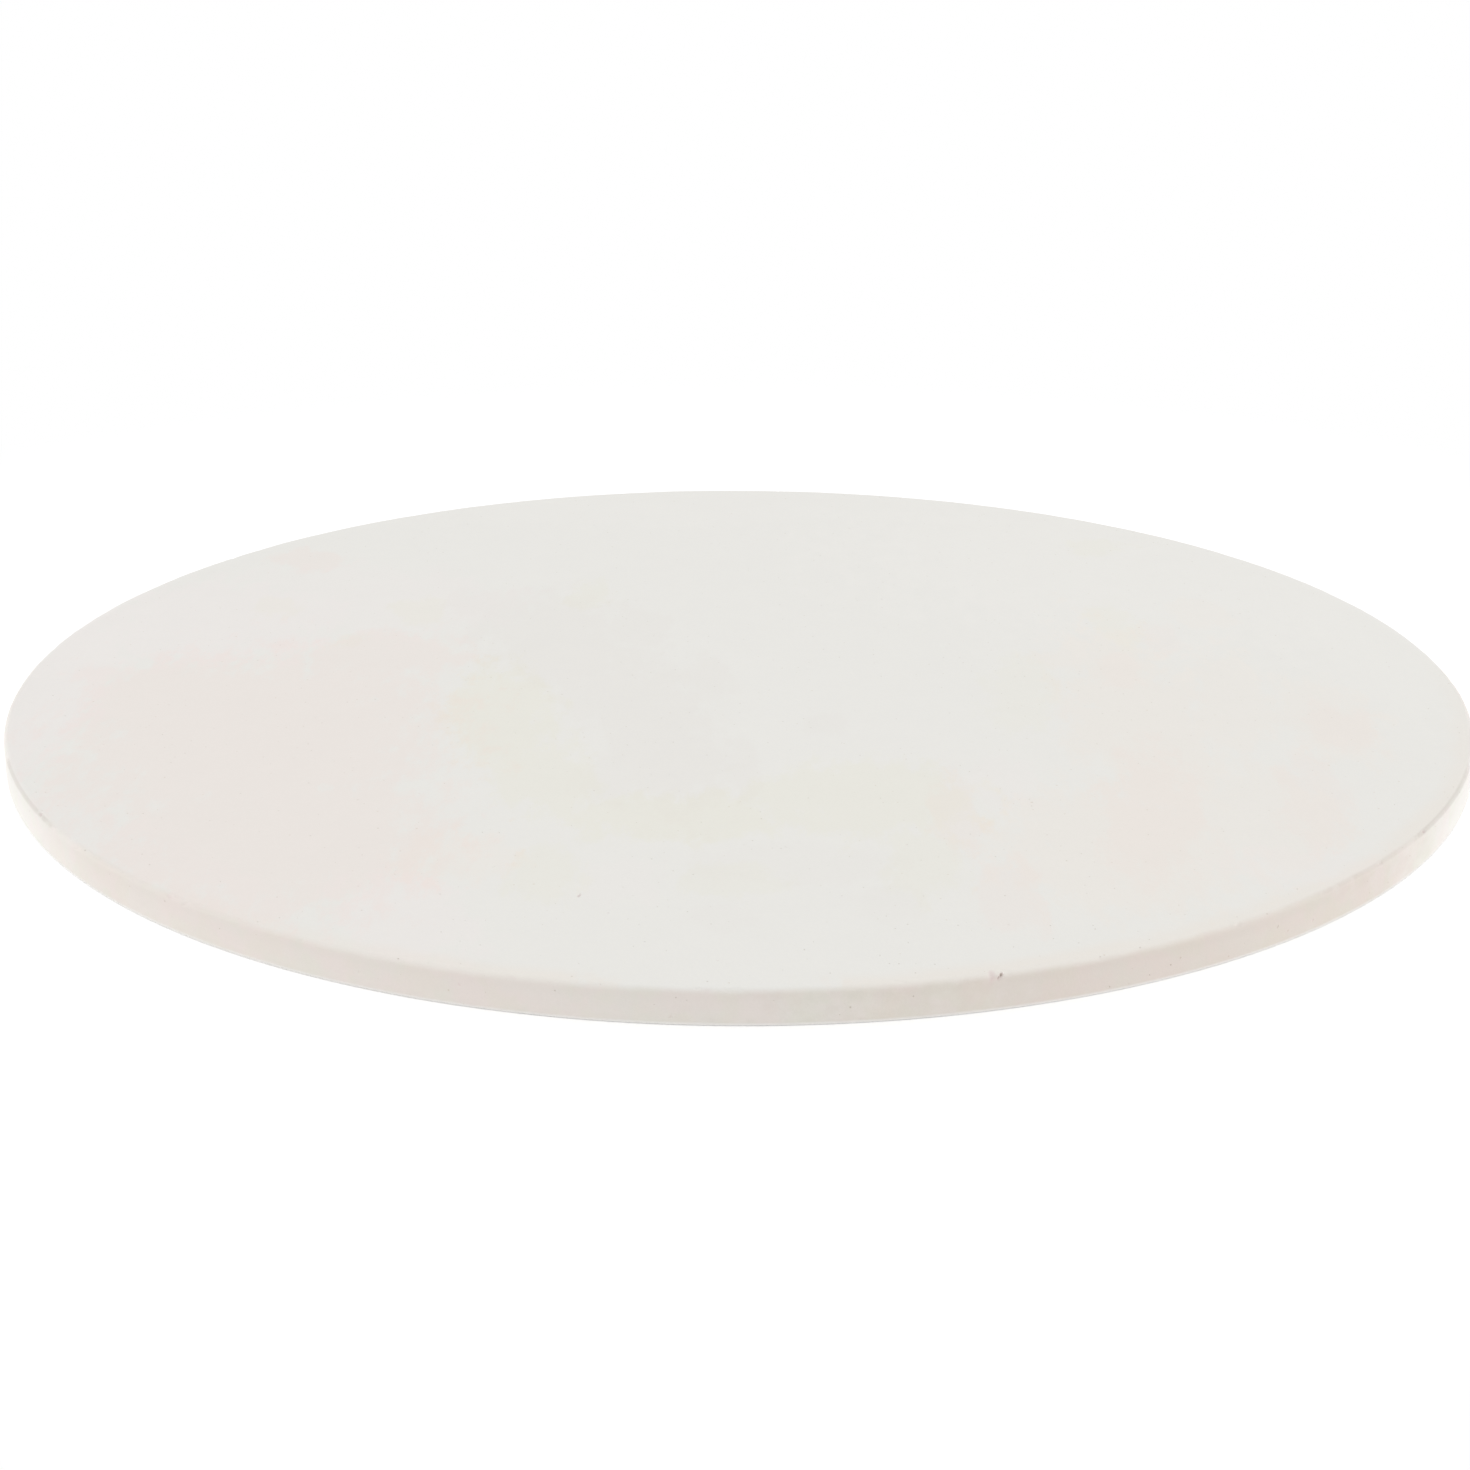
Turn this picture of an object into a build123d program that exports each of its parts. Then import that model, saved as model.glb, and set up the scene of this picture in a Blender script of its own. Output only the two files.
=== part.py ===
from build123d import *
import os

# A pizza stone: one round slab of fired ceramic, pressed in a single piece.
# It has a flat baking face, a straight wall and a flat underside to rest on.
# All sizes are in millimetres. The origin is the middle of the underside, and +Z points up.

# The slab
slab_diameter = 360.0
slab_thickness = 8.0

# Its edges, as rounding radii: the rim round the baking face is eased so that it chips less,
# and the edge round the underside is only rubbed smooth
rim_edge_radius = 1.2
base_edge_radius = 0.4


def make_baking_slab():
    """The whole stone: a disc that stands on the ground plane, with both of its edges rounded."""
    slab = Cylinder(
        radius=slab_diameter / 2,
        height=slab_thickness,
        align=(Align.CENTER, Align.CENTER, Align.MIN),
    )
    baking_face = slab.faces().sort_by(Axis.Z)[-1]
    slab = fillet(baking_face.edges(), rim_edge_radius)
    underside = slab.faces().sort_by(Axis.Z)[0]
    slab = fillet(underside.edges(), base_edge_radius)
    return slab


def write_node(name, piece):
    """Writes one piece to its own STEP file, labelled with the piece's name."""
    piece.label = name
    export_step(piece, os.path.join("parts", f"{name}.step"))


os.makedirs("parts", exist_ok=True)
write_node("baking_slab", make_baking_slab())
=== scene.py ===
import math
import random
from collections import namedtuple

import bmesh
import bpy
from mathutils import Matrix, Vector, kdtree, noise


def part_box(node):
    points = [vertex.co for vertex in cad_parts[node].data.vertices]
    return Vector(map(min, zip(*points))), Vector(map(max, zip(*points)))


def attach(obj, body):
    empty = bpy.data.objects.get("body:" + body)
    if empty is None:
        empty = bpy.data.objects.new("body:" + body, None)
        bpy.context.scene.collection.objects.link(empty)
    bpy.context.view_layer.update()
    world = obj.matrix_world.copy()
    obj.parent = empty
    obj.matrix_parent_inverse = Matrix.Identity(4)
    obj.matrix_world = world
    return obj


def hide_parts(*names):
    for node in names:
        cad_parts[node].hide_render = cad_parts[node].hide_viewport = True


# A pizza stone: one round slab of unglazed, fired ceramic with a lightly worn rim.
# All lengths are in metres, in the CAD frame: +Z up, the origin in the middle of the underside.
# Angles round the rim are in degrees: 0 is +X, and -90 is the side that faces the camera.

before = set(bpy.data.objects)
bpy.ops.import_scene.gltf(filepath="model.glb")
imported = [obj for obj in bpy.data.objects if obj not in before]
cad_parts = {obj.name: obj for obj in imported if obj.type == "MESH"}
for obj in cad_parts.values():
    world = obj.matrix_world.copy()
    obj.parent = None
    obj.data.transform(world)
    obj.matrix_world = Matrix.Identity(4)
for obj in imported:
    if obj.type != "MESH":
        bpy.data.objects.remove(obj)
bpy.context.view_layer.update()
slab_low, slab_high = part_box("baking_slab")

MM = 0.001
UP = Vector((0, 0, 1))

# The slab's size, from the CAD solid's box
SLAB_RADIUS = min(slab_high.x, slab_high.y, -slab_low.x, -slab_low.y)
SLAB_TOP = slab_high.z
SLAB_BOTTOM = slab_low.z

# The edges: the rim is rubbed down by hand, so its rounding wanders along the edge
RIM_ROUND = 1.2 * MM
RIM_LONG_WANDER = 0.25 * MM
RIM_LONG_WAVE = 17 * MM
RIM_SHORT_WANDER = 0.18 * MM
RIM_SHORT_WAVE = 4.5 * MM
BASE_ROUND = 0.4 * MM

# The faces: a pressed slab isn't quite true, and falls short of its full size in places
FACE_DROP = 0.05 * MM
FACE_WAVE = 38 * MM
WALL_DROP = 0.10 * MM
WALL_WAVE = 21 * MM
WALL_REACH = 6 * MM

# Each use of the noise has a layer of its own, so that no two patterns follow each other
RIM_LONG_LAYER = 3
RIM_SHORT_LAYER = 5
FACE_LAYER = 7
WALL_LAYER = 9
FIRST_DENT_LAYER = 20

# How finely the edge is divided. A support ring inside each rounding keeps the faces' shading flat.
RIM_SEGMENTS = 1152
RIM_STEPS = 8
BASE_STEPS = 3
WALL_STEP = 0.8 * MM
SUPPORT_GAP = 0.35 * MM

# The flat faces: rings that get wider apart towards the middle. A ring has half as many vertices as
# the one outside it, where they would otherwise be closer together than this share of the gap.
FLAT_INSET = 2.6 * MM
FLAT_RADIUS = SLAB_RADIUS - FLAT_INSET
FIRST_RING_GAP = 0.9 * MM
RING_GAP_GROWTH = 1.3
TOP_RING_GAP = 3.2 * MM
UNDERSIDE_RING_GAP = 6 * MM
HALVING_SHARE = 0.45

# How finely the mesh is divided again where a dent is
CELLS_PER_DENT = 5
REFINE_PASSES = 6

# One dent: a shallow bowl pressed or broken into the surface. It is centred on place, sinks
# against out, and is longest along its own direction. Its darkness is how much darker its inside
# is coloured, most at its deepest, and ragged is how uneven its outline is, both as shares.
Dent = namedtuple("Dent", "place out along half_length half_width depth stain ragged")
RAGGED_WAVE = 0.5 * MM
RAGGED_SHARE = 0.3

# Scattered marks: how many there are, and between which two values dice choose each one's half
# length, half width and depth in millimetres, its darkness, and its twist in degrees
Scatter = namedtuple("Scatter", "count half_length half_width depth stain twist")
RIM_NICKS = Scatter(52, (0.5, 1.7), (0.30, 0.60), (0.05, 0.16), (0, 0.12), (-25, 25))
WALL_PITS = Scatter(34, (0.25, 0.6), (0.18, 0.35), (0.06, 0.18), (0.05, 0.3), (0, 180))
TOP_PITS = Scatter(26, (0.22, 0.5), (0.18, 0.3), (0.06, 0.16), (0.05, 0.3), (0, 180))
UNDERSIDE_PITS = TOP_PITS._replace(count=12)
NICK_TILTS = (15, 75)
WALL_PIT_HEIGHTS = (1.2, 6.2)
MARK_SEED = 11


def wave(point, size, layer):
    """Smooth noise from about -1 to 1, whose waves are as long as size."""
    return noise.noise(point / size + UP * layer)


def half_wave(point, size, layer):
    """The same noise, from 0 to 1."""
    return min(max((1 + wave(point, size, layer)) / 2, 0), 1)


def outward(angle):
    """The level direction out of the wall at an angle in radians."""
    return Vector((math.cos(angle), math.sin(angle), 0))


def smooth_share(value, start, end):
    """0 at start, 1 at end and smooth between them."""
    share = min(max((value - start) / (end - start), 0), 1)
    return share * share * (3 - 2 * share)


# The slab's mesh

def rim_rounding(angle):
    """The radius of the rim's rounding at an angle in radians."""
    foot = outward(angle) * SLAB_RADIUS
    long_part = RIM_LONG_WANDER * wave(foot, RIM_LONG_WAVE, RIM_LONG_LAYER)
    short_part = RIM_SHORT_WANDER * wave(foot, RIM_SHORT_WAVE, RIM_SHORT_LAYER)
    return RIM_ROUND + long_part + short_part


def quarter_turn(steps):
    """The angles from nothing to a quarter turn, in equal steps and in radians."""
    return [math.radians(90) * step / steps for step in range(steps + 1)]


def edge_section(angle):
    """The edge's (radius, height) points at one angle, from the underside up to the baking face."""
    rim = rim_rounding(angle)
    points = [(FLAT_RADIUS, SLAB_BOTTOM), (SLAB_RADIUS - BASE_ROUND - SUPPORT_GAP, SLAB_BOTTOM)]
    for turn in quarter_turn(BASE_STEPS):
        points.append((
            SLAB_RADIUS - BASE_ROUND * (1 - math.sin(turn)),
            SLAB_BOTTOM + BASE_ROUND * (1 - math.cos(turn)),
        ))
    wall_start = SLAB_BOTTOM + BASE_ROUND
    wall_end = SLAB_TOP - rim
    wall_steps = round((SLAB_TOP - RIM_ROUND - wall_start) / WALL_STEP)
    for step in range(1, wall_steps):
        points.append((SLAB_RADIUS, wall_start + (wall_end - wall_start) * step / wall_steps))
    for turn in quarter_turn(RIM_STEPS):
        points.append((
            SLAB_RADIUS - rim * (1 - math.cos(turn)),
            SLAB_TOP - rim * (1 - math.sin(turn)),
        ))
    return points + [(SLAB_RADIUS - rim - SUPPORT_GAP, SLAB_TOP), (FLAT_RADIUS, SLAB_TOP)]


def ring_plan(widest_gap):
    """The (radius, segments) of the rings inside a flat face's border, coarser towards the middle."""
    radius, gap, segments = FLAT_RADIUS, FIRST_RING_GAP, RIM_SEGMENTS
    rings = []
    while radius - gap > widest_gap:
        radius -= gap
        gap = min(gap * RING_GAP_GROWTH, widest_gap)
        if segments % 2 == 0 and math.tau * radius / segments < HALVING_SHARE * gap:
            segments //= 2
        rings.append((radius, segments))
    return rings


def bridge(bm, outer, inner):
    """Joins two rings of vertices. The inner ring has as many as the outer one, or half as many."""
    count = len(inner)
    for i in range(count):
        after = (i + 1) % count
        if len(outer) == count:
            bm.faces.new((outer[i], outer[after], inner[after], inner[i]))
            continue
        first, middle, last = outer[2 * i], outer[2 * i + 1], outer[(2 * i + 2) % len(outer)]
        bm.faces.new((first, middle, inner[i]))
        bm.faces.new((middle, inner[after], inner[i]))
        bm.faces.new((middle, last, inner[after]))


def fill_face(bm, border, height, widest_gap):
    """Fills a flat face with rings, from its border to a fan of triangles in the middle."""
    outer = border
    for radius, segments in ring_plan(widest_gap):
        inner = [
            bm.verts.new(outward(math.tau * i / segments) * radius + UP * height)
            for i in range(segments)
        ]
        bridge(bm, outer, inner)
        outer = inner
    middle = bm.verts.new(UP * height)
    for i, vertex in enumerate(outer):
        bm.faces.new((vertex, outer[(i + 1) % len(outer)], middle))


def plain_slab(bm):
    """The slab with a wandering rim, and with the length along its section kept on each edge vertex."""
    band = bm.verts.layers.float.new("band")
    columns = []
    for i in range(RIM_SEGMENTS):
        angle = math.tau * i / RIM_SEGMENTS
        column, length = [], 0.0
        for radius, height in edge_section(angle):
            here = outward(angle) * radius + UP * height
            if column:
                length += (here - column[-1].co).length
            vertex = bm.verts.new(here)
            vertex[band] = length
            column.append(vertex)
        columns.append(column)
    rows = list(zip(*columns))
    for lower, upper in zip(rows, rows[1:]):
        bridge(bm, lower, upper)
    fill_face(bm, rows[0], SLAB_BOTTOM, UNDERSIDE_RING_GAP)
    fill_face(bm, rows[-1], SLAB_TOP, TOP_RING_GAP)
    bmesh.ops.recalc_face_normals(bm, faces=bm.faces)


def press(bm):
    """Lets the top and the wall fall a little short, in long shallow waves, as pressing leaves them."""
    for vertex in bm.verts:
        place = vertex.co.copy()
        rise_share = (place.z - SLAB_BOTTOM) / (SLAB_TOP - SLAB_BOTTOM)
        vertex.co.z -= FACE_DROP * half_wave(place, FACE_WAVE, FACE_LAYER) * rise_share
        radius = place.to_2d().length
        reach_share = smooth_share(radius, SLAB_RADIUS - WALL_REACH, SLAB_RADIUS)
        if reach_share > 0:
            inset = WALL_DROP * half_wave(place, WALL_WAVE, WALL_LAYER) * reach_share
            vertex.co -= outward(math.atan2(place.y, place.x)) * inset


# Dents, pits and chips

def rim_dent(degrees, tilt, half_length, half_width, depth, stain, ragged=RAGGED_SHARE, twist=0):
    """A dent in the rounded rim. Tilt is 0 degrees on the wall's side and 90 on the face's side."""
    level = outward(math.radians(degrees))
    lean = math.radians(tilt)
    out = level * math.cos(lean) + UP * math.sin(lean)
    middle = level * (SLAB_RADIUS - RIM_ROUND) + UP * (SLAB_TOP - RIM_ROUND)
    along = Matrix.Rotation(math.radians(twist), 3, out) @ UP.cross(level)
    return Dent(middle + out * RIM_ROUND, out, along, half_length, half_width, depth, stain, ragged)


def wall_dent(degrees, height, half_length, half_width, depth, stain, ragged=RAGGED_SHARE, twist=0):
    """A dent in the wall at a height above the underside."""
    level = outward(math.radians(degrees))
    along = Matrix.Rotation(math.radians(twist), 3, level) @ UP.cross(level)
    place = level * SLAB_RADIUS + UP * height
    return Dent(place, level, along, half_length, half_width, depth, stain, ragged)


def face_dent(x, y, half_length, half_width, depth, stain, ragged=RAGGED_SHARE, twist=0, underside=False):
    """A dent in the baking face or the underside. Twist turns its length away from +X."""
    place = Vector((x, y, SLAB_BOTTOM if underside else SLAB_TOP))
    along = outward(math.radians(twist))
    return Dent(place, -UP if underside else UP, along, half_length, half_width, depth, stain, ragged)


def seen_marks():
    """The marks that can be made out on the real stone."""
    return [
        # The chip in the front rim: a small deep split, a flake broken off beside it and a shallow one
        rim_dent(-73.38, 44, 0.62 * MM, 0.33 * MM, 0.50 * MM, stain=0.70, ragged=0.35, twist=66),
        rim_dent(-73.58, 14, 0.50 * MM, 0.25 * MM, 0.25 * MM, stain=0.52, ragged=0.35, twist=60),
        rim_dent(-73.98, 62, 1.70 * MM, 0.95 * MM, 0.20 * MM, stain=0.28, twist=80),
        rim_dent(-73.55, 12, 1.10 * MM, 0.75 * MM, 0.12 * MM, stain=0.17, twist=20),
        rim_dent(-72.95, 62, 0.95 * MM, 0.60 * MM, 0.14 * MM, stain=0),
        # Knocks where the rim turns away at the left and at the right
        rim_dent(-149.6, 50, 0.85 * MM, 0.50 * MM, 0.24 * MM, stain=0.30),
        rim_dent(-33.1, 55, 0.95 * MM, 0.50 * MM, 0.24 * MM, stain=0.32),
        # Two flakes at the middle of the front rim
        rim_dent(-90.3, 35, 2.40 * MM, 0.60 * MM, 0.16 * MM, stain=0),
        rim_dent(-91.9, 35, 1.20 * MM, 0.80 * MM, 0.14 * MM, stain=0.10),
        # The pit in the baking face
        face_dent(-33 * MM, -135 * MM, 1.15 * MM, 0.42 * MM, 0.28 * MM, stain=0.34, ragged=0.25, twist=78),
    ]


def dice_form(dice, scatter):
    """A scattered mark's half length, half width, depth, darkness, raggedness and twist."""
    ranges = (scatter.half_length, scatter.half_width, scatter.depth)
    sizes = [dice.uniform(*limits) * MM for limits in ranges]
    return [*sizes, dice.uniform(*scatter.stain), RAGGED_SHARE, dice.uniform(*scatter.twist)]


def scattered_marks():
    """Small wear and pinholes all over, which are too fine for the photograph to show one by one."""
    dice = random.Random(MARK_SEED)
    marks = []
    for _ in range(RIM_NICKS.count):
        degrees, tilt = dice.uniform(-180, 180), dice.uniform(*NICK_TILTS)
        marks.append(rim_dent(degrees, tilt, *dice_form(dice, RIM_NICKS)))
    for _ in range(WALL_PITS.count):
        degrees, height = dice.uniform(-180, 180), dice.uniform(*WALL_PIT_HEIGHTS) * MM
        marks.append(wall_dent(degrees, height, *dice_form(dice, WALL_PITS)))
    for underside, pits in ((False, TOP_PITS), (True, UNDERSIDE_PITS)):
        for _ in range(pits.count):
            angle = math.radians(dice.uniform(0, 360))
            place = outward(angle) * (SLAB_RADIUS - WALL_REACH) * math.sqrt(dice.uniform(0, 1))
            marks.append(face_dent(place.x, place.y, *dice_form(dice, pits), underside=underside))
    return marks


def refine(bm, dents):
    """Divides the mesh at each dent until its cells are small enough to hold the dent's shape."""
    tree = kdtree.KDTree(len(dents))
    for i, dent in enumerate(dents):
        tree.insert(dent.place, i)
    tree.balance()
    for _ in range(REFINE_PASSES):
        coarse = []
        for edge in bm.edges:
            middle = (edge.verts[0].co + edge.verts[1].co) / 2
            length = edge.calc_length()
            _, i, distance = tree.find(middle)
            cell = 2 * dents[i].half_width / CELLS_PER_DENT
            if length > cell and distance < dents[i].half_length + length / 2:
                coarse.append(edge)
        if not coarse:
            break
        bmesh.ops.subdivide_edges(bm, edges=coarse, cuts=1, use_grid_fill=True, use_single_edge=True)


def sink_dents(bm, dents):
    """Presses each dent into the surface, and keeps its darkness on the vertices, most where it sinks
    deepest.
    """
    stain = bm.verts.layers.float.new("stain")
    tree = kdtree.KDTree(len(bm.verts))
    vertices = list(bm.verts)
    for i, vertex in enumerate(vertices):
        tree.insert(vertex.co, i)
    tree.balance()
    for layer, dent in enumerate(dents, FIRST_DENT_LAYER):
        across = dent.out.cross(dent.along)
        for start, i, _ in tree.find_range(dent.place, dent.half_length + dent.half_width):
            offset = start - dent.place
            length_share = offset.dot(dent.along) / dent.half_length
            width_share = offset.dot(across) / dent.half_width
            reach = math.hypot(length_share, width_share)
            reach *= 1 + dent.ragged * wave(start, RAGGED_WAVE, layer)
            bowl_share = 1 - reach * reach
            if bowl_share > 0:
                vertices[i].co -= dent.out * dent.depth * bowl_share
                vertices[i][stain] = max(vertices[i][stain], dent.stain * bowl_share)


# The flat layout for baking: shares of the square map

TOP_DISC_MIDDLE_SHARE = Vector((0.372, 0.628))
TOP_DISC_RADIUS_SHARE = 0.365
UNDERSIDE_MIDDLE_SHARE = Vector((0.803, 0.197))
UNDERSIDE_RADIUS_SHARE = 0.190
STRIPS = 6
STRIP_START_SHARE = 0.006
STRIP_LENGTH_SHARE = 0.590
STRIP_PITCH_SHARE = 0.0420


def lay_disc(face, layout, on_top):
    """Lays a piece of a flat face out in that face's disc, the underside as it looks from below."""
    middle = TOP_DISC_MIDDLE_SHARE if on_top else UNDERSIDE_MIDDLE_SHARE
    scale = (TOP_DISC_RADIUS_SHARE if on_top else UNDERSIDE_RADIUS_SHARE) / FLAT_RADIUS
    for loop in face.loops:
        flat = loop.vert.co.to_2d()
        flat.x = flat.x if on_top else -flat.x
        loop[layout].uv = middle + flat * scale


def lay_strip(face, layout, band, centre):
    """Lays a piece of the edge out in the strip that its centre falls in."""
    strip_turn = math.tau / STRIPS
    strip_scale = STRIP_LENGTH_SHARE / (strip_turn * SLAB_RADIUS)
    centre_angle = math.atan2(centre.y, centre.x) % math.tau
    strip = int(centre_angle / strip_turn)
    for loop in face.loops:
        angle = math.atan2(loop.vert.co.y, loop.vert.co.x) % math.tau
        if angle - centre_angle > math.pi:
            angle -= math.tau
        if centre_angle - angle > math.pi:
            angle += math.tau
        length = (angle - strip * strip_turn) * SLAB_RADIUS
        loop[layout].uv = (
            STRIP_START_SHARE + length * strip_scale,
            STRIP_START_SHARE + strip * STRIP_PITCH_SHARE + loop.vert[band] * strip_scale,
        )


def lay_out(bm):
    """Lays the baking face and the underside out as discs, and the edge between them as strips."""
    layout = bm.loops.layers.uv.new("OFBake")
    band = bm.verts.layers.float["band"]
    middle_height = (SLAB_BOTTOM + SLAB_TOP) / 2
    for face in bm.faces:
        centre = face.calc_center_median()
        if centre.to_2d().length < FLAT_RADIUS:
            lay_disc(face, layout, centre.z > middle_height)
        else:
            lay_strip(face, layout, band, centre)


def make_slab():
    """The whole stone as one closed mesh, smoothly shaded."""
    bm = bmesh.new()
    plain_slab(bm)
    dents = seen_marks() + scattered_marks()
    refine(bm, dents)
    press(bm)
    sink_dents(bm, dents)
    lay_out(bm)
    for face in bm.faces:
        face.smooth = True
    mesh = bpy.data.meshes.new("fired_slab")
    bm.to_mesh(mesh)
    bm.free()
    slab = bpy.data.objects.new("fired_slab", mesh)
    bpy.context.scene.collection.objects.link(slab)
    return slab


# Small helpers for building materials

NOISE_MIDDLE = 0.5
WHITE = [1.0, 1.0, 1.0, 1.0]

# A kind of noise: how large its lumps are, how many finer layers it has, and how strong those are
Cloud = namedtuple("Cloud", "size detail roughness", defaults=(3.0, 0.5))

# A kind of round spot: how wide the cells are that hold one each, the largest spot's radius, and the
# share of the cells that have one at all
Spots = namedtuple("Spots", "cell largest share")
SMALLEST_SPOT = 0.001 * MM
SPOT_SOFT_SHARE = 0.6


def linear(red, green, blue):
    """A screen's colour, as three levels out of 255, made linear for shaders by the sRGB curve."""
    shares = [level / 255 for level in (red, green, blue)]
    return [s / 12.92 if s <= 0.04045 else ((s + 0.055) / 1.055) ** 2.4 for s in shares] + [1.0]


def add_node(tree, kind, inputs=None, **settings):
    """A new node. Its inputs are given by name or number, each a plain value or another node's output."""
    node = tree.nodes.new("ShaderNode" + kind)
    for name, value in settings.items():
        setattr(node, name, value)
    for key, value in (inputs or {}).items():
        if isinstance(value, bpy.types.NodeSocket):
            tree.links.new(value, node.inputs[key])
        else:
            node.inputs[key].default_value = value
    return node


def maths(tree, operation, *values):
    """The result of a Math node on one, two or three values."""
    return add_node(tree, "Math", dict(enumerate(values)), operation=operation).outputs[0]


def vector_maths(tree, operation, *values):
    """The vector that a Vector Math node gives for two or three vectors."""
    return add_node(tree, "VectorMath", dict(enumerate(values)), operation=operation).outputs["Vector"]


def vector_measure(tree, operation, *values):
    """The number that a Vector Math node gives for one or two vectors, such as a length."""
    return add_node(tree, "VectorMath", dict(enumerate(values)), operation=operation).outputs["Value"]


def level_part(tree, vector):
    """The vector without its height."""
    return vector_maths(tree, "MULTIPLY", vector, (1, 1, 0))


def ramp(tree, value, start, end):
    """0 where the value is at start, 1 where it is at end, and smooth between them."""
    inputs = {"Value": value, "From Min": start, "From Max": end}
    return add_node(tree, "MapRange", inputs, interpolation_type="SMOOTHSTEP").outputs["Result"]


def cloud(tree, place, kind):
    """Noise of a kind. Outputs 0 and 1 are its value, from 0 to 1, and its colour."""
    inputs = {"Vector": place, "Scale": 1 / kind.size, "Detail": kind.detail, "Roughness": kind.roughness}
    return add_node(tree, "TexNoise", inputs).outputs


def cloud_about_zero(tree, place, kind, spread):
    """Noise of a kind, from minus half of spread to plus half of it."""
    return maths(tree, "MULTIPLY_ADD", cloud(tree, place, kind)[0], spread, -spread / 2)


def spots(tree, place, kind):
    """1 in the middle of scattered round spots of a kind, and 0 outside them."""
    voronoi = add_node(tree, "TexVoronoi", {"Vector": place, "Scale": 1 / kind.cell})
    chance = add_node(tree, "SeparateColor", {0: voronoi.outputs["Color"]})
    distance = maths(tree, "MULTIPLY", voronoi.outputs["Distance"], kind.cell)
    radius = maths(tree, "MULTIPLY", chance.outputs[1], kind.largest)
    radius = maths(tree, "MAXIMUM", radius, SMALLEST_SPOT)
    depth = maths(tree, "SUBTRACT", 1.0, maths(tree, "DIVIDE", distance, radius))
    chosen = maths(tree, "LESS_THAN", chance.outputs[0], kind.share)
    return maths(tree, "MULTIPLY", ramp(tree, depth, 0.0, SPOT_SOFT_SHARE), chosen)


def multiplied(tree, colour, other, strength):
    """The colour multiplied by another one, by as much as the strength says."""
    inputs = {"Fac": strength, "Color1": colour, "Color2": other}
    return add_node(tree, "MixRGB", inputs, blend_type="MULTIPLY").outputs[0]


def tinted(tree, colour, tint, strength):
    """The colour multiplied by a tint, by as much as the strength says."""
    return multiplied(tree, colour, [*tint, 1.0], strength)


def mixed(tree, share, first, second):
    """A colour between two colours."""
    return add_node(tree, "MixRGB", {"Fac": share, "Color1": first, "Color2": second}).outputs[0]


# The fired ceramic

FACE_COLOUR = linear(235, 233.6, 229)
WALL_COLOUR = linear(232, 225, 219)
UNDERSIDE_COLOUR = linear(228, 222, 214)
# The dark grey-brown that the deepest part of a dent is coloured towards
DENT_CORE_COLOUR = linear(176, 166, 155)
# Painted light: the near-white that the front of the wall's foot turns, standing in for light bounced off
# the floor
PAINTED_FOOT_LIGHT_COLOUR = linear(250, 249, 246)

# Tints, as what each multiplies red, green and blue by
MAUVE_TINT = (1.018, 0.996, 1.006)
SHADE_TINT = (0.988, 0.980, 0.978)
OLIVE_TINT = (0.992, 0.990, 0.944)
SAND_TINT = (1.014, 0.990, 0.974)
WARM_TINT = (1.015, 0.968, 0.960)
PALE_TINT = (1.016, 1.014, 1.014)
BLUSH_TINT = (1.008, 0.978, 0.955)
SCORCH_TINT = (0.940, 0.925, 0.905)
# Painted light: makes the wall's two front ends paler, standing in for light from the side lamps
PAINTED_SIDE_LIGHT_TINT = (1.100, 1.145, 1.168)
NEUTRAL_TINT = (0.982, 0.998, 0.995)
PINK_TINT = (1.014, 0.990, 0.996)
GREEN_TINT = (0.984, 1.004, 0.980)
# Painted shade for the top of the wall, just under the rim
PAINTED_TOP_SHADE_TINT = (0.985, 0.982, 0.980)
# Painted light for the wall's lower part, standing in for light bounced off the floor
PAINTED_BOUNCE_TINT = (1.025, 1.030, 1.030)
ARRIS_TINT = (0.845, 0.835, 0.825)
BACK_RIM_TINT = (1.030, 1.032, 1.036)
FLAKE_TINT = (0.950, 0.890, 0.915)
SPECK_TINT = (0.80, 0.74, 0.66)
PORE_TINT = (0.72, 0.68, 0.62)

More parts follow.
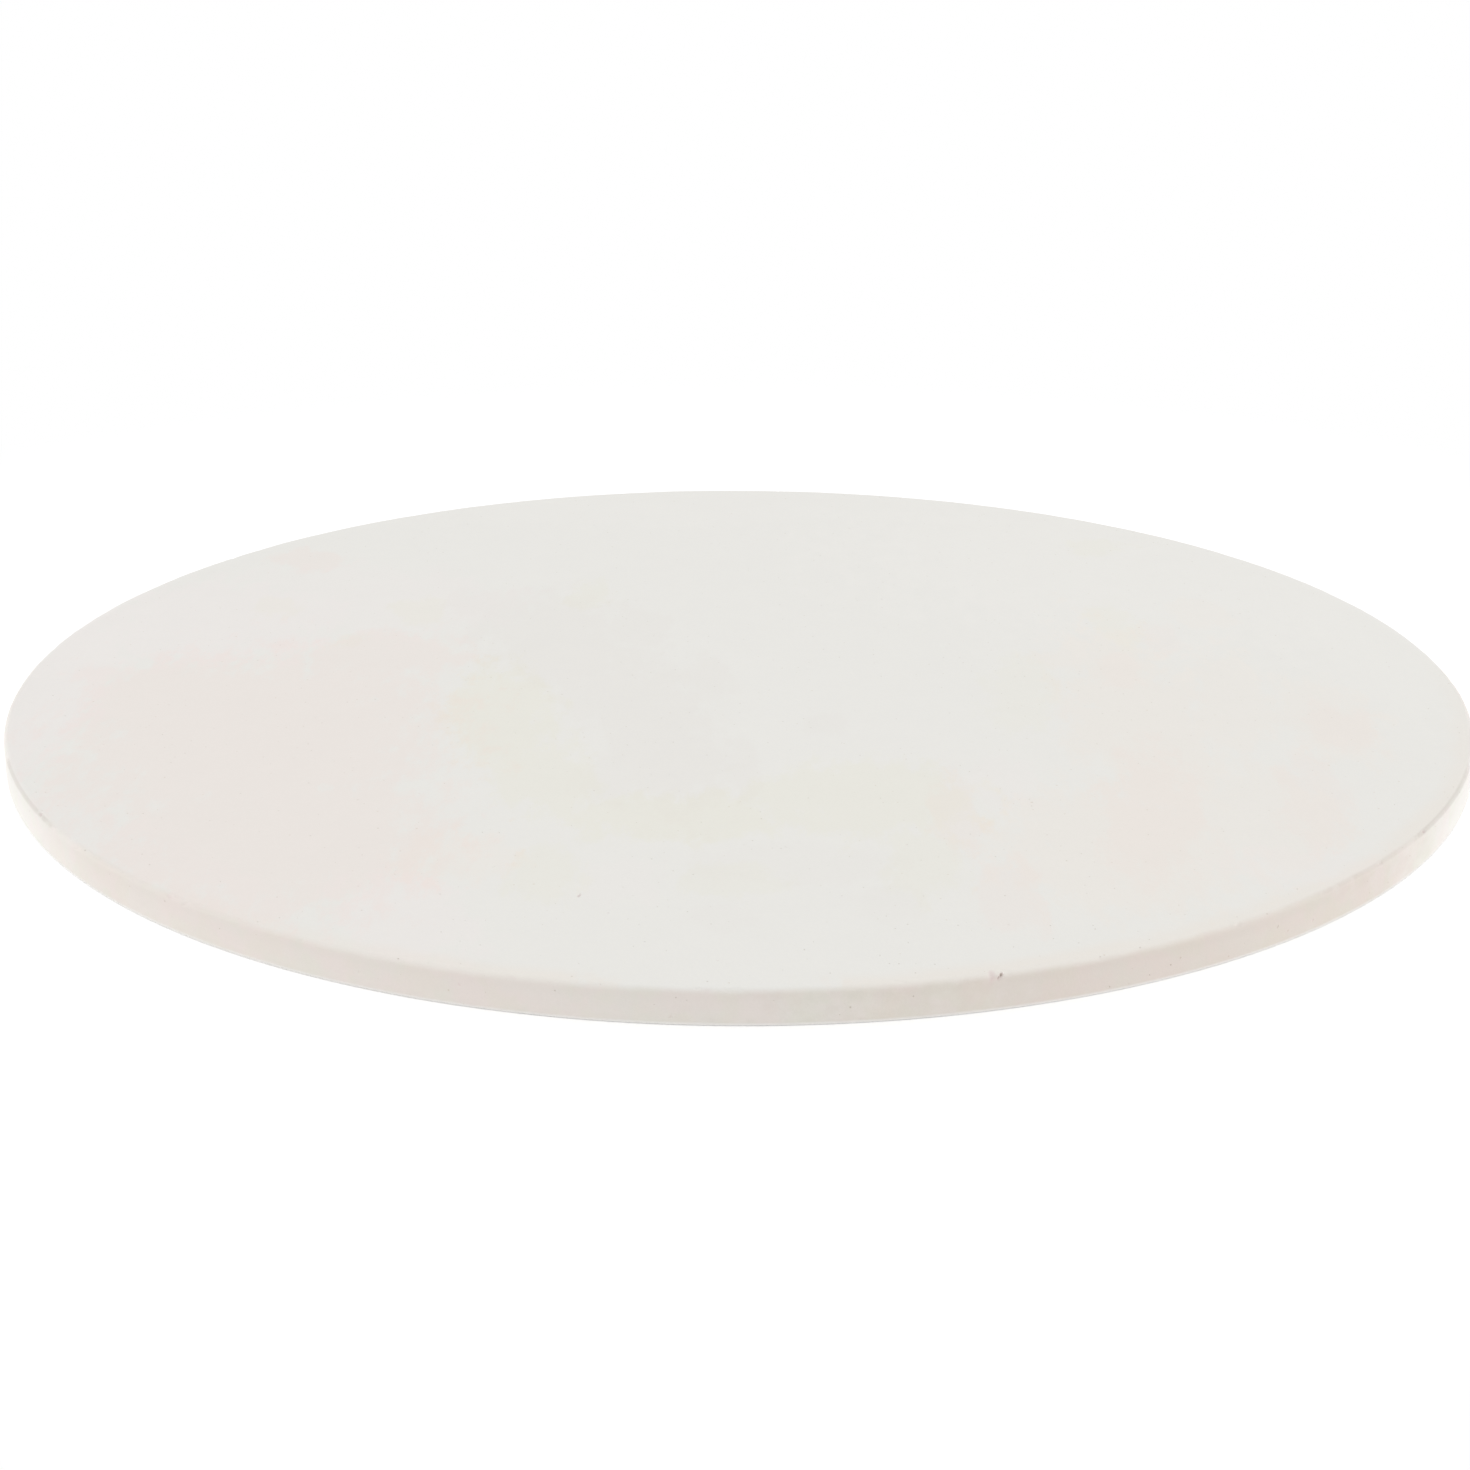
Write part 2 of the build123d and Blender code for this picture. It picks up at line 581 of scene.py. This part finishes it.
# Soft patches that the firing left in the baking face, by their tint: the middle and the half sizes
# in millimetres, how far each is turned in degrees, and how strongly it shows
Patch = namedtuple("Patch", "x y half_x half_y turn strength")
FACE_PATCHES = [
    (MAUVE_TINT, [
        Patch(-169, -12, 13, 76, 0, 1.0),
        Patch(-140, 48, 36, 34, 20, 1.0),
        Patch(-96, 62, 32, 30, 0, 0.6),
        Patch(-126, -117, 9, 60, 43, 0.4),
        Patch(-68, -148, 14, 24, 20, 0.9),
        Patch(-112, 84, 26, 14, 0, 0.5),
        Patch(120, -118, 18, 10, 0, 0.6),
        Patch(-26, -128, 10, 12, 0, 0.4),
        Patch(60, -70, 9, 16, 0, 0.5),
    ]),
    (SHADE_TINT, [
        Patch(-46, 30, 19, 42, 10, 1.0),
        Patch(-21, -36, 15, 58, 9, 1.0),
        Patch(-67, 50, 6, 24, -6, 0.9),
        Patch(-75, 64, 4, 13, 0, 0.7),
        Patch(-26, 42, 8, 16, 5, 0.8),
        Patch(-8, 2, 6, 17, 4, 0.8),
        Patch(-36, -8, 9, 22, 0, 0.8),
        Patch(-30, -66, 9, 18, 0, 0.7),
        Patch(1, -62, 5, 22, 3, 0.8),
        Patch(22, -33, 4, 8, 0, 0.6),
        Patch(12, -118, 22, 10, 0, 0.5),
        Patch(-4, -146, 9, 7, 0, 0.5),
        Patch(30, -138, 8, 9, 0, 0.5),
    ]),
    (OLIVE_TINT, [
        Patch(-57, -28, 13, 38, 8, 0.9),
        Patch(-45, -70, 11, 25, 14, 0.8),
        Patch(-14, -92, 28, 15, 0, 0.9),
        Patch(28, -80, 26, 22, 0, 0.8),
        Patch(39, -116, 9, 20, 0, 0.6),
        Patch(-40, -122, 8, 14, 0, 0.6),
        Patch(0, -126, 10, 9, 0, 0.5),
        Patch(69, -8, 9, 30, -6, 0.4),
        Patch(101, 46, 7, 20, 0, 0.5),
        Patch(105, 118, 8, 8, 0, 0.5),
        Patch(-41, 70, 5, 14, 0, 0.6),
        Patch(-86, 56, 7, 12, 0, 0.6),
        Patch(-126, 58, 6, 10, 0, 0.5),
        Patch(-104, 30, 5, 8, 0, 0.4),
    ]),
    (SAND_TINT, [
        Patch(84, -108, 28, 36, 0, 0.9),
        Patch(98, -30, 18, 72, 3, 0.9),
        Patch(121, -14, 9, 42, -5, 0.7),
        Patch(116, -90, 18, 34, 0, 0.7),
        Patch(143, -28, 14, 28, 0, 0.7),
        Patch(86, 18, 11, 9, 0, 0.7),
        Patch(126, 56, 9, 12, 0, 0.5),
        Patch(-60, -116, 12, 14, 0, 0.7),
    ]),
    (WARM_TINT, [
        Patch(-114, -42, 46, 64, 0, 1.0),
        Patch(-102, -104, 37, 44, 20, 1.0),
        Patch(-160, 2, 8, 9, 0, 0.7),
        Patch(-92, 20, 20, 20, 0, 0.9),
        Patch(-142, -16, 19, 34, 0, 1.0),
        Patch(-123, 103, 11, 9, 0, 0.8),
        Patch(92, -88, 11, 40, -8, 0.55),
        Patch(131, -78, 7, 33, -6, 0.5),
        Patch(57, -134, 7, 20, 0, 0.6),
        Patch(49, -88, 5, 28, 0, 0.6),
        Patch(145, -32, 9, 16, 0, 0.5),
        Patch(96, 6, 7, 14, 0, 0.4),
        Patch(112, 34, 5, 12, 0, 0.4),
    ]),
    (PALE_TINT, [
        Patch(112, 106, 92, 72, -42, 0.8),
        Patch(164, 34, 16, 60, 0, 0.6),
        Patch(-30, 165, 110, 24, 0, 0.5),
        Patch(-168, 42, 12, 34, 0, 0.4),
    ]),
]

# Where the face's blush along the rim leaves off, where the wall is scorched, and where a dark line
# runs along the rim
BLUSH_GAP = Patch(-3, -178, 24, 14, 0, 1.0)
WALL_SCORCH = Patch(92, -152, 70, 46, 30, 1.0)
RIM_LINE_PATCHES = [
    Patch(-164, -75, 17, 20, 24, 1.0),
    Patch(160, -82, 20, 26, -28, 0.9),
    Patch(140, -113, 20, 22, -39, 0.3),
]

# The patches' outlines: how far noise shifts them, how much it breaks them up, and how much of each
# fades out. The noise is read at a point shortened by the streaky shares, which draws it out from
# front to back.
PATCH_WANDER = 9 * MM
PATCH_WANDER_CLOUD = Cloud(12 * MM)
PATCH_EDGE_SHARE = 2.0
PATCH_EDGE_CLOUD = Cloud(4.5 * MM, 4.0, 0.65)
PATCH_SOFT_SHARE = 0.30
SCORCH_SOFT_SHARE = 0.60
STREAKY_SHARES = (1.0, 0.4, 1.0)

# From here on, a pair says where something starts to show and where it shows in full.
# The face's blush lies along the rim, on the side of the stone that was nearest the fire.
BLUSH_RADII = (SLAB_RADIUS - 7.5 * MM, SLAB_RADIUS - 1.5 * MM)
BLUSH_STREAKS = 8 * MM
BLUSH_CLOUD = Cloud(12 * MM)
FIRE_SIDE = outward(math.radians(-65))
FIRE_DISTANCES = (30 * MM, 150 * MM)

# The wall, by the distance towards the camera, the distance to either side, and the height
WALL_FRONT = (-40 * MM, 60 * MM)
# Painted side light: where it starts and where it is full, by the distance to either side
SIDE_LIGHT_DISTANCES = (132 * MM, 168 * MM)
TOP_SHADE_HEIGHTS = (4.5 * MM, 6.6 * MM)
BOUNCE_HEIGHTS = (5.6 * MM, 0.6 * MM)
FOOT_LIGHT_HEIGHTS = (0.95 * MM, 0.1 * MM)
UNDERSIDE_HEIGHTS = (SLAB_BOTTOM + 0.10 * MM, SLAB_BOTTOM + 0.02 * MM)

# The wall's faint blotches. The green ones read their noise elsewhere, to be free of the pink ones.
PINK_CLOUD = Cloud(9 * MM)
GREEN_CLOUD = Cloud(7 * MM)
GREEN_ELSEWHERE = (1, 1, 1)
BLOTCH_LEVELS = (0.42, 0.60)

# The rim. The wall's colour comes further up towards both sides, and less far at the back.
RIM_CLOUD = Cloud(5 * MM)
RIM_STREAKS = 1.2 * MM
RIM_SECTION = (-0.8 * MM, 1.5 * MM)
RIM_SIDES = (55 * MM, 125 * MM)
RIM_SIDE_RISE = 1.0 * MM
RIM_BACK = (10 * MM, -70 * MM)
RIM_BACK_FALL = 2.2 * MM
PALE_BACK_SECTION = (-2.6 * MM, -0.8 * MM)

# The dark line along the rim: how far it reaches, and how it slants across the rim from left to right
LINE_REACH = (1.05 * MM, 0.35 * MM)
LINE_OFFSET = 0.15 * MM
LINE_SLANT = 0.0015

# Fine texture: how much each noise changes the colour, and how far each part stands up or goes down
CLOUDING_CLOUD = Cloud(11 * MM, 4.0, 0.6)
CLOUDING_SHARE = 0.022
GRAIN_CLOUD = Cloud(0.55 * MM, 3.0, 0.7)
GRAIN_SHARE = 0.050
GRAIN_HEIGHT = 0.030 * MM
BUMP_CLOUD = Cloud(3.2 * MM)
BUMP_HEIGHT = 0.035 * MM
SPECKS = Spots(3.4 * MM, 0.34 * MM, 0.5)
SPECK_STRENGTH = 0.6
PORES = Spots(2.1 * MM, 0.26 * MM, 0.6)
PORE_STRENGTH = 0.7
PORE_DEPTH = 0.09 * MM
LEAST_ROUGHNESS = 0.66
GRAIN_ROUGHNESS = 0.16

# How strong a dent's darkness has to be for a mauve bruise and for the dark grey-brown core
BRUISE_LEVELS = (0.0, 0.30)
DENT_CORE_LEVELS = (0.15, 0.85)

# The place being shaded. Point is the place itself, and patch_point its level part, shifted by noise.
# Patch_noise breaks up the patches' edges. Rightwards is the distance towards +X, sideways the
# distance to either side, and forwards the distance towards -Y, where the camera is. Section is the
# place along the edge's section: below zero on the face, about zero halfway round the rim, and above
# zero on the wall.
Place = namedtuple(
    "Place", "point patch_point patch_noise rightwards sideways forwards height radius section",
)


def shaded_place(tree):
    """The nodes that measure the place being shaded."""
    point = add_node(tree, "TexCoord").outputs["Object"]
    parts = add_node(tree, "SeparateXYZ", {0: point}).outputs
    streaky = vector_maths(tree, "MULTIPLY", point, STREAKY_SHARES)
    radius = vector_measure(tree, "LENGTH", level_part(tree, point))
    section = maths(tree, "ADD", maths(tree, "SUBTRACT", radius, parts[2]), SLAB_TOP - SLAB_RADIUS)
    return Place(
        point=point,
        patch_point=wandering(tree, point, streaky),
        patch_noise=cloud_about_zero(tree, streaky, PATCH_EDGE_CLOUD, PATCH_EDGE_SHARE),
        rightwards=parts[0],
        sideways=maths(tree, "ABSOLUTE", parts[0]),
        forwards=maths(tree, "MULTIPLY", parts[1], -1.0),
        height=parts[2],
        radius=radius,
        section=section,
    )


def wandering(tree, point, streaky):
    """The level part of a point, shifted by noise so that shapes drawn at it get uneven outlines."""
    colour = cloud(tree, streaky, PATCH_WANDER_CLOUD)[1]
    shift = vector_maths(tree, "SUBTRACT", colour, [NOISE_MIDDLE] * 3)
    shifted = vector_maths(tree, "MULTIPLY_ADD", shift, (2 * PATCH_WANDER, 2 * PATCH_WANDER, 0), point)
    return level_part(tree, shifted)


def patch_strength(tree, place, patch, soft_share=PATCH_SOFT_SHARE):
    """How strongly a patch shows: full in its middle, nothing outside it, and broken up at its edge."""
    inputs = {
        "Vector": place.patch_point,
        "Location": (patch.x * MM, patch.y * MM, 0),
        "Rotation": (0, 0, math.radians(patch.turn)),
        "Scale": (patch.half_x * MM, patch.half_y * MM, 1),
    }
    own_place = add_node(tree, "Mapping", inputs, vector_type="TEXTURE").outputs[0]
    reach = maths(tree, "ADD", vector_measure(tree, "LENGTH", own_place), place.patch_noise)
    return maths(tree, "MULTIPLY", ramp(tree, reach, 1 + soft_share, 1 - soft_share), patch.strength)


def patches_strength(tree, place, patches):
    """How strongly a group of patches shows: as much as the strongest one does."""
    strength = 0.0
    for patch in patches:
        strength = maths(tree, "MAXIMUM", strength, patch_strength(tree, place, patch))
    return strength


def face_colour(tree, place):
    """The baking face: a cool white with soft patches, and a warm blush along most of the front rim."""
    colour = FACE_COLOUR
    for tint, patches in FACE_PATCHES:
        colour = tinted(tree, colour, tint, patches_strength(tree, place, patches))
    streaks = cloud_about_zero(tree, place.point, BLUSH_CLOUD, BLUSH_STREAKS)
    blush = ramp(tree, maths(tree, "ADD", place.radius, streaks), *BLUSH_RADII)
    towards_fire = vector_measure(tree, "DOT_PRODUCT", place.point, FIRE_SIDE)
    blush = maths(tree, "MULTIPLY", blush, ramp(tree, towards_fire, *FIRE_DISTANCES))
    no_gap = maths(tree, "SUBTRACT", 1.0, patch_strength(tree, place, BLUSH_GAP))
    return tinted(tree, colour, BLUSH_TINT, maths(tree, "MULTIPLY", blush, no_gap))


def blotches(tree, point, kind):
    """1 in soft blotches of a kind of noise, and 0 between them."""
    return ramp(tree, cloud(tree, point, kind)[0], *BLOTCH_LEVELS)


def wall_colour(tree, place):
    """The wall: scorched right of the middle, with painted side light at its two front ends, painted shade
    at its top and painted bounce light towards its foot.
    """
    scorch = patch_strength(tree, place, WALL_SCORCH, SCORCH_SOFT_SHARE)
    colour = tinted(tree, WALL_COLOUR, SCORCH_TINT, scorch)
    front = ramp(tree, place.forwards, *WALL_FRONT)
    # Painted side light: the wall's front ends turn paler where the side lamps light them
    side_light = maths(tree, "MULTIPLY", ramp(tree, place.sideways, *SIDE_LIGHT_DISTANCES), front)
    colour = tinted(tree, colour, PAINTED_SIDE_LIGHT_TINT, side_light)
    colour = tinted(tree, colour, NEUTRAL_TINT, patch_strength(tree, place, BLUSH_GAP))
    colour = tinted(tree, colour, PINK_TINT, blotches(tree, place.point, PINK_CLOUD))
    elsewhere = vector_maths(tree, "ADD", place.point, GREEN_ELSEWHERE)
    colour = tinted(tree, colour, GREEN_TINT, blotches(tree, elsewhere, GREEN_CLOUD))
    # Painted shade: the wall a little darker towards its top, just under the rim
    colour = tinted(tree, colour, PAINTED_TOP_SHADE_TINT, ramp(tree, place.height, *TOP_SHADE_HEIGHTS))
    # Painted bounce light: the wall lighter towards its foot
    colour = tinted(tree, colour, PAINTED_BOUNCE_TINT, ramp(tree, place.height, *BOUNCE_HEIGHTS))
    # Painted bounce light: the front of the foot turns near white
    foot = maths(tree, "MULTIPLY", ramp(tree, place.height, *FOOT_LIGHT_HEIGHTS), front)
    return mixed(tree, foot, colour, PAINTED_FOOT_LIGHT_COLOUR)


def rim_colour(tree, place, face, wall):
    """The face's colour turning into the wall's over the rim, with a paler rim and wall at the back."""
    streaks = cloud_about_zero(tree, place.point, RIM_CLOUD, RIM_STREAKS)
    rise = maths(tree, "MULTIPLY", ramp(tree, place.sideways, *RIM_SIDES), RIM_SIDE_RISE)
    back = ramp(tree, place.forwards, *RIM_BACK)
    rise = maths(tree, "MULTIPLY_ADD", back, -RIM_BACK_FALL, rise)
    shifted = maths(tree, "ADD", maths(tree, "ADD", place.section, streaks), rise)
    colour = mixed(tree, ramp(tree, shifted, *RIM_SECTION), face, wall)
    pale = maths(tree, "MULTIPLY", back, ramp(tree, place.section, *PALE_BACK_SECTION))
    return tinted(tree, colour, BACK_RIM_TINT, pale)


def dark_rim_line(tree, colour, place):
    """A dark line along the rim, on the wall's side of it at the left and on the face's at the right."""
    slant = maths(tree, "MULTIPLY_ADD", place.rightwards, LINE_SLANT, LINE_OFFSET)
    distance = maths(tree, "ABSOLUTE", maths(tree, "ADD", place.section, slant))
    line = ramp(tree, distance, *LINE_REACH)
    line_patches = patches_strength(tree, place, RIM_LINE_PATCHES)
    return tinted(tree, colour, ARRIS_TINT, maths(tree, "MULTIPLY", line, line_patches))


def speckled(tree, colour, place, grain, pores):
    """Clouding, grain, mineral specks and pinholes."""
    clouding = cloud(tree, place.point, CLOUDING_CLOUD)[0]
    level = maths(tree, "MULTIPLY_ADD", clouding, CLOUDING_SHARE, 1 - CLOUDING_SHARE / 2)
    level = maths(tree, "SUBTRACT", level, GRAIN_SHARE / 2)
    level = maths(tree, "MULTIPLY_ADD", grain, GRAIN_SHARE, level)
    grey = add_node(tree, "CombineColor", {0: level, 1: level, 2: level}).outputs[0]
    colour = multiplied(tree, colour, grey, 1.0)
    specks = spots(tree, place.point, SPECKS)
    colour = tinted(tree, colour, SPECK_TINT, maths(tree, "MULTIPLY", specks, SPECK_STRENGTH))
    return tinted(tree, colour, PORE_TINT, maths(tree, "MULTIPLY", pores, PORE_STRENGTH))


def chipped(tree, colour, grain):
    """Chips and pits: a mauve bruise where they are shallow, and dark grey-brown deeper down."""
    stain = add_node(tree, "Attribute", attribute_name="stain").outputs["Fac"]
    stain = maths(tree, "MULTIPLY", stain, maths(tree, "ADD", grain, NOISE_MIDDLE))
    colour = tinted(tree, colour, FLAKE_TINT, ramp(tree, stain, *BRUISE_LEVELS))
    return mixed(tree, ramp(tree, stain, *DENT_CORE_LEVELS), colour, DENT_CORE_COLOUR)


def relief(tree, place, grain, pores):
    """The shading's fine relief: grain, broader bumps and pinholes, with heights in metres."""
    height = maths(tree, "MULTIPLY", grain, GRAIN_HEIGHT)
    height = maths(tree, "MULTIPLY_ADD", cloud(tree, place.point, BUMP_CLOUD)[0], BUMP_HEIGHT, height)
    height = maths(tree, "MULTIPLY_ADD", pores, -PORE_DEPTH, height)
    return add_node(tree, "Bump", {"Height": height, "Distance": 1.0}).outputs[0]


def fired_ceramic():
    """Unglazed white ceramic: softly mottled faces, a warmer wall with painted light and shade, fine
    grain, a dark line along parts of the rim and darker dents.
    """
    material = bpy.data.materials.new("fired_ceramic")
    material.use_nodes = True
    tree = material.node_tree
    shader = tree.nodes["Principled BSDF"]
    place = shaded_place(tree)
    grain = cloud(tree, place.point, GRAIN_CLOUD)[0]
    pores = spots(tree, place.point, PORES)

    colour = rim_colour(tree, place, face_colour(tree, place), wall_colour(tree, place))
    colour = dark_rim_line(tree, colour, place)
    colour = mixed(tree, ramp(tree, place.height, *UNDERSIDE_HEIGHTS), colour, UNDERSIDE_COLOUR)
    colour = speckled(tree, colour, place, grain, pores)
    colour = chipped(tree, colour, grain)
    roughness = maths(tree, "MULTIPLY_ADD", grain, GRAIN_ROUGHNESS, LEAST_ROUGHNESS)
    tree.links.new(colour, shader.inputs["Base Color"])
    tree.links.new(roughness, shader.inputs["Roughness"])
    tree.links.new(relief(tree, place, grain, pores), shader.inputs["Normal"])
    return material


# The floor, which reads as plain white far from the stone and keeps its shadow near it

FLOOR_HALF_WIDTH = 6.0
FLOOR_GAP = 0.05 * MM
FLOOR_LEVEL = 0.90
FLOOR_LIFT = 0.25
SHADOW_REACH = 0.23
WHITE_REACH = 0.36


def seen_directly(tree):
    """1 for what the camera sees, also in a reflection or through glass, and 0 for plain lighting."""
    path = add_node(tree, "LightPath")
    seen = maths(tree, "MAXIMUM", path.outputs["Is Camera Ray"], path.outputs["Is Glossy Ray"])
    return maths(tree, "MAXIMUM", seen, path.outputs["Is Transmission Ray"])


def floor_finish():
    """Matt white paper, lifted to full white for the camera away from the stone."""
    material = bpy.data.materials.new("floor_paper")
    material.use_nodes = True
    tree = material.node_tree
    tree.nodes.clear()
    paper = add_node(tree, "BsdfDiffuse", {"Color": [FLOOR_LEVEL] * 3 + [1.0]}).outputs[0]
    lift = add_node(tree, "Emission", {"Strength": FLOOR_LIFT}).outputs[0]
    white = add_node(tree, "Emission", {"Strength": 1.0}).outputs[0]
    near = add_node(tree, "AddShader", {0: paper, 1: lift}).outputs[0]
    place = add_node(tree, "TexCoord").outputs["Object"]
    far_share = ramp(tree, vector_measure(tree, "LENGTH", place), SHADOW_REACH, WHITE_REACH)
    seen = add_node(tree, "MixShader", {0: far_share, 1: near, 2: white}).outputs[0]
    finish = add_node(tree, "MixShader", {0: seen_directly(tree), 1: paper, 2: seen}).outputs[0]
    add_node(tree, "OutputMaterial", {"Surface": finish})
    return material


def make_floor():
    """A broad floor just under the stone."""
    bm = bmesh.new()
    bmesh.ops.create_grid(bm, x_segments=1, y_segments=1, size=FLOOR_HALF_WIDTH)
    mesh = bpy.data.meshes.new("floor")
    bm.to_mesh(mesh)
    bm.free()
    mesh.materials.append(floor_finish())
    floor = bpy.data.objects.new("floor", mesh)
    floor.location.z = SLAB_BOTTOM - FLOOR_GAP
    bpy.context.scene.collection.objects.link(floor)


# Light

WORLD_LEVEL = 0.89

# Soft lamps: the angle round the stone and the elevation in degrees, the distance and the width in
# metres, and how bright a white surface that faces the lamp becomes
Lamp = namedtuple("Lamp", "name angle elevation distance width level")
LAMPS = [
    Lamp("right_lamp", 0, 7, 1.8, 1.4, 0.30),
    Lamp("left_lamp", 180, 7, 1.8, 1.4, 0.28),
]


def place_lamps():
    """Broad lamps aimed at the stone. The camera doesn't see them."""
    for lamp in LAMPS:
        rise = math.radians(lamp.elevation)
        direction = outward(math.radians(lamp.angle)) * math.cos(rise) + UP * math.sin(rise)
        light = bpy.data.lights.new(lamp.name, "AREA")
        light.shape = "DISK"
        light.size = lamp.width
        light.energy = lamp.level * math.pi ** 2 * lamp.distance ** 2
        holder = bpy.data.objects.new(lamp.name, light)
        holder.location = direction * lamp.distance
        holder.rotation_mode = "QUATERNION"
        holder.rotation_quaternion = direction.to_track_quat("Z", "Y")
        holder.visible_camera = False
        bpy.context.scene.collection.objects.link(holder)


def light_world():
    """Even light from all round, and a white background for the camera."""
    world = bpy.data.worlds.new("studio")
    world.use_nodes = True
    tree = world.node_tree
    tree.nodes.clear()
    around = add_node(tree, "Background", {"Color": WHITE, "Strength": WORLD_LEVEL}).outputs[0]
    backdrop = add_node(tree, "Background", {"Color": WHITE, "Strength": 1.0}).outputs[0]
    both = add_node(tree, "MixShader", {0: seen_directly(tree), 1: around, 2: backdrop}).outputs[0]
    add_node(tree, "OutputWorld", {"Surface": both})
    bpy.context.scene.world = world


# The camera, as fitted to the photograph's outline of the stone. It stands in front of the middle of
# the baking face and looks at a place beside that. The angles are in degrees, and the lens is in
# millimetres, as on a camera whose picture is 36 mm wide.

CAMERA_DISTANCE = 720 * MM
CAMERA_ELEVATION = 19.25
CAMERA_ROLL = 0.168
CAMERA_LENS = 70.1
LOOK_AT = Vector((-0.96 * MM, -39.24 * MM, 0))


def place_camera():
    """A camera at a distance and elevation from the middle of the baking face."""
    face_middle = UP * SLAB_TOP
    rise = math.radians(CAMERA_ELEVATION)
    eye = face_middle + Vector((0, -math.cos(rise), math.sin(rise))) * CAMERA_DISTANCE
    forward = (face_middle + LOOK_AT - eye).normalized()
    roll = Matrix.Rotation(math.radians(-CAMERA_ROLL), 3, forward)
    right = roll @ forward.cross(UP).normalized()
    above = right.cross(forward)
    camera = bpy.data.cameras.new("camera")
    camera.lens = CAMERA_LENS
    holder = bpy.data.objects.new("camera", camera)
    holder.matrix_world = Matrix((right, above, -forward)).transposed().to_4x4()
    holder.location = eye
    bpy.context.scene.collection.objects.link(holder)
    bpy.context.scene.camera = holder


place_camera()
light_world()
place_lamps()
make_floor()

slab = make_slab()
slab.data.materials.append(fired_ceramic())
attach(slab, "root")
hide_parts("baking_slab")

bpy.context.scene.view_settings.view_transform = "Standard"
